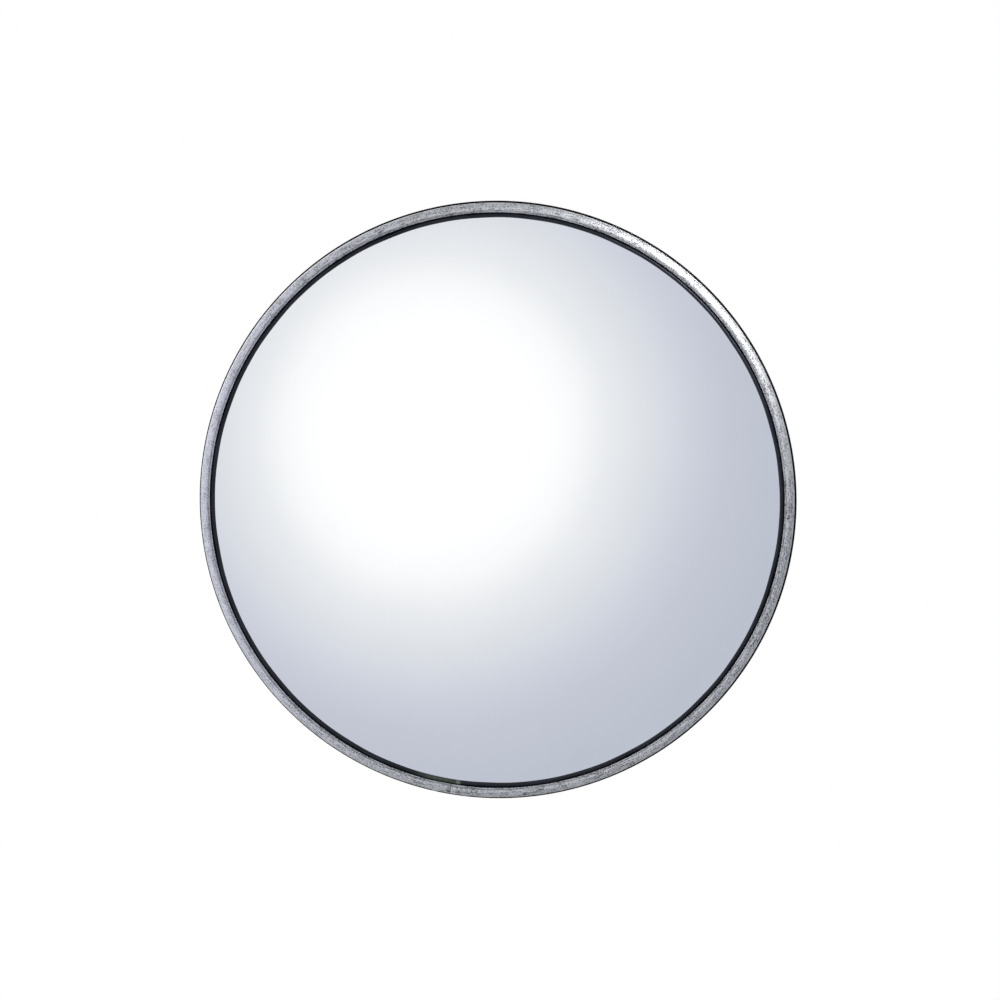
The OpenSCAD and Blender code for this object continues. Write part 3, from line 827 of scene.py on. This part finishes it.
# the glow's colour, by degrees from its middle
glowSteps = [(0.0, [1.12, 1.12, 1.12, 1]), (17.5, [1.10, 1.10, 1.10, 1]), (24, [1.03, 1.03, 1.03, 1]),
             (30, [0.89, 0.90, 0.92, 1]), (37, [0.78, 0.80, 0.84, 1]), (44, [0.67, 0.69, 0.77, 1]),
             (50, [0.605, 0.62, 0.71, 1]), (61, [0.545, 0.58, 0.66, 1])]
# brightness at the sides, from the side away from the bright one round to it
sideSteps = [(0.0, 0.46), (0.5, 0.4), (0.8, 0.6), (0.9, 0.95), (1.0, 2.0)]
# brightness behind the mirror, by the share of a half turn from straight ahead
rearSteps = [(0.6, 0.62), (0.8, 0.68), (0.92, 1.05)]
sideTint = (0.94, 0.98, 1.07)
world = bpy.data.worlds.new("studio")
bpy.context.scene.world = world
world.use_nodes = True
tree = world.node_tree
tree.nodes.clear()


def fromFront(azimuth, elevation):
    # unit vector seen from the mirror: azimuth to the right of straight ahead, elevation up
    a, e = math.radians(azimuth), math.radians(elevation)
    return Vector((math.sin(a) * math.cos(e), -math.cos(a) * math.cos(e), math.sin(e)))


def angleFrom(way):
    # degrees between the direction looked in and a given one
    return calculate(tree, "DEGREES", calculate(tree, "ARCCOSINE", dot(tree, direction, way)))


def blended(share, first, second):
    return addNode(tree, "Mix", {"data_type": "RGBA"}, {0: share, 6: first, 7: second}).outputs[2]


def stepped(value, stops):
    return addNode(tree, "ValToRGB", {"stops": stops}, {"Fac": value}).outputs["Color"]


direction = addNode(tree, "TexCoord").outputs["Generated"]
fromGlow = angleFrom(fromFront(studio["glowAzimuth"], studio["glowElevation"]))
fromAhead = angleFrom(Vector((0, -1, 0)))
ahead = stepped(calculate(tree, "DIVIDE", fromGlow, studio["glowReach"]),
                [(degrees / studio["glowReach"], tint) for degrees, tint in glowSteps])
turn = math.radians(studio["brightSide"])
side = mapped(tree, dot(tree, direction, (math.cos(turn), 0, math.sin(turn))), -1.0, 1.0)
around = stepped(side, [(share, [level * part for part in sideTint] + [1]) for share, level in sideSteps])
half = calculate(tree, "DIVIDE", fromAhead, 180.0)
behind = mapped(tree, half, studio["rearFrom"], studio["rearTo"], smooth=True)
sides = blended(behind, around, stepped(half, rearSteps))
outside = mapped(tree, fromAhead, studio["sideFrom"], studio["sideTo"], smooth=True)
room = addNode(tree, "Background", {}, {"Color": blended(outside, ahead, sides)})
# the camera itself looks at a plain white sweep
sweep = addNode(tree, "Background", {"Color": (1, 1, 1, 1)})
seen = addNode(tree, "LightPath").outputs["Is Camera Ray"]
both = addNode(tree, "MixShader", {}, {0: seen, 1: room.outputs[0], 2: sweep.outputs[0]})
addNode(tree, "OutputWorld", {}, {"Surface": both.outputs[0]})


def areaLight(name, around, aside, forward, size, power, target=0.15, spread=180):
    # around: counter-clockwise from the mirror's right; aside and forward: metres from its axis and its rim
    light = bpy.data.lights.new(name, "AREA")
    light.shape = "DISK"
    light.size = size
    light.energy = power
    light.spread = math.radians(spread)
    lamp = bpy.data.objects.new(name, light)
    bpy.context.scene.collection.objects.link(lamp)
    turn, rimPlane = math.radians(around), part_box("rim_band")[0].y
    lamp.location = (aside * math.cos(turn), rimPlane - forward, aside * math.sin(turn))
    aimed = Vector((target * math.cos(turn), rimPlane, target * math.sin(turn)))
    lamp.rotation_euler = (lamp.location - aimed).to_track_quat("Z", "Y").to_euler()
    return lamp


areaLight("keyUpperRight", 47, 0.49, 0.24, 0.1, 0.115, target=0.2, spread=28)
areaLight("backSoft", 148, 1.4, -1.4, 2.0, 15, target=0)
overhead = areaLight("overhead", 90, 2.6, 0, 2.5, 60, target=0)
overhead.visible_glossy = False   # lights the floor and the dull parts only

view = {"azimuth": 4.5, "elevation": 3.5, "lens": 210, "sensor": 36, "frameWidth": 0.50817,
        "right": 2.1, "up": 0.61}
camera = bpy.data.cameras.new("camera")
camera.lens = view["lens"]
camera.sensor_width = view["sensor"]
camera.clip_end = 100
cameraObject = bpy.data.objects.new("camera", camera)
bpy.context.scene.collection.objects.link(cameraObject)
back = fromFront(view["azimuth"], view["elevation"])
rimCentre = Vector((0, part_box("rim_band")[0].y, 0))
cameraObject.rotation_euler = back.to_track_quat("Z", "Y").to_euler()
across = cameraObject.rotation_euler.to_matrix() @ Vector((view["right"], view["up"], 0)) * mm
cameraObject.location = rimCentre + across + back * view["frameWidth"] * view["lens"] / view["sensor"]
bpy.context.scene.camera = cameraObject
bpy.context.scene.view_settings.view_transform = "Standard"
print("stage, light and camera set")

bpy.context.view_layer.update()
